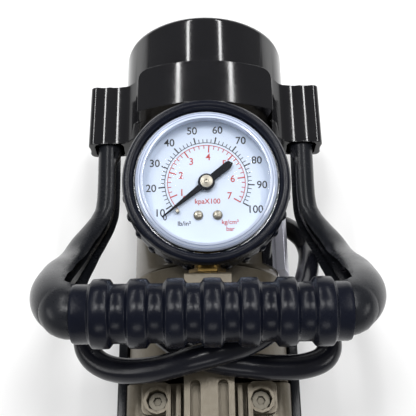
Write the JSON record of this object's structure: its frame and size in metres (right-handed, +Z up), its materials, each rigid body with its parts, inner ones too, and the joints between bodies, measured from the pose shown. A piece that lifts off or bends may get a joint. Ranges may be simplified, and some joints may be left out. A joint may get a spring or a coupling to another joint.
{
  "type": "portable electric air compressor",
  "caption": "Portable electric piston air compressor with a finned head, dial pressure gauge, arched carrying handle with ribbed grip, and a stored air hose.",
  "frame": {"origin": "centre of the footprint on the surface it stands on, measured without the hose and chuck", "axes": "+X to the right, +Y to the motor cap at the back, +Z up"},
  "size_m": [0.1194, 0.2166, 0.1328],
  "materials": {
    "gloss_black": "glossy moulded",
    "satin_black": "satin moulded",
    "black_rubber": "matte",
    "taupe_paint": "semi-gloss paint",
    "cast_alloy": "painted casting",
    "steel": "machined",
    "brass": "turned",
    "copper": "wound wire",
    "ferrite": "sintered",
    "carbon": "pressed",
    "clear": "clear",
    "dial_white": "printed",
    "silver": "bright",
    "ptfe": "filled PTFE",
    "fibre": "fibre board"
  },
  "bodies": {
    "frame": {"motor_can": "taupe_paint", "magnet_right": "ferrite", "magnet_left": "ferrite", "brush_plate": "fibre", "brush_right": "carbon", "brush_left": "carbon", "bush_rear": "brass", "bush_front": "brass", "rear_housing": "gloss_black", "end_cover": "gloss_black", "switch_body": "satin_black", "power_socket": "satin_black", "side_rail": "silver", "gearbox_housing": "cast_alloy", "bearing_rear": "steel", "bearing_front": "steel", "crankcase": "cast_alloy", "front_cover": "satin_black", "cylinder_block": "cast_alloy", "cylinder_liner": "steel", "head_gasket": "fibre", "valve_plate": "steel", "inlet_reed": "steel", "outlet_reed": "steel", "cylinder_head": "cast_alloy", "head_screw_1": "steel", "head_screw_2": "steel", "head_screw_3": "steel", "head_screw_4": "steel", "gauge_case": "steel", "gauge_stem": "brass", "bourdon_tube": "brass", "gauge_movement": "brass", "gauge_dial": "dial_white", "gauge_lens": "clear", "gauge_boot": "black_rubber", "handle_frame": "satin_black", "handle_grip": "black_rubber", "base_cradle": "satin_black", "foot_front_left": "black_rubber", "foot_front_right": "black_rubber", "foot_rear_left": "black_rubber", "foot_rear_right": "black_rubber", "hose_fitting": "brass", "air_hose": "black_rubber", "chuck_body": "silver"},
    "rotor": {"rotor_shaft": "steel", "rotor_core": "steel", "rotor_winding": "copper", "commutator": "copper", "cooling_fan": "satin_black", "pinion": "brass"},
    "crank": {"drive_gear": "steel", "crankshaft": "steel"},
    "piston": {"piston_rod": "steel", "piston_cup": "ptfe", "cup_retainer": "steel"},
    "pointer": {"gauge_pointer": "satin_black"},
    "rocker": {"switch_rocker": "satin_black"},
    "lever": {"chuck_lever": "gloss_black"}
  },
  "joints": [
    {"name": "rotor_spin", "type": "hinge", "parent": "frame", "child": "rotor", "pos_m": [0, 0, 0.048], "axis": [0, 1, 0], "continuous": true},
    {"name": "crank_spin", "type": "hinge", "parent": "frame", "child": "crank", "pos_m": [0, 0, 0.028], "axis": [0, 1, 0], "continuous": true},
    {"name": "piston_slide", "type": "slide", "parent": "frame", "child": "piston", "axis": [0, 0, 1], "range_m": [-0.014, 0]},
    {"name": "pointer_turn", "type": "hinge", "parent": "frame", "child": "pointer", "pos_m": [0, 0.013, 0.107], "axis": [0, 0.2079, -0.9781], "range_deg": [0, 248.4]},
    {"name": "rocker_tilt", "type": "hinge", "parent": "frame", "child": "rocker", "pos_m": [0, 0.1025, 0.051], "axis": [0, 0, -1], "range_deg": [0, 16]},
    {"name": "lever_lift", "type": "hinge", "parent": "frame", "child": "lever", "pos_m": [0.0342, 0.074, 0.0063], "axis": [0, 0, 1], "range_deg": [0, 70]}
  ],
  "couplings": [
    {"joint": "crank_spin", "follows": "rotor_spin", "ratio": -0.25}
  ]
}
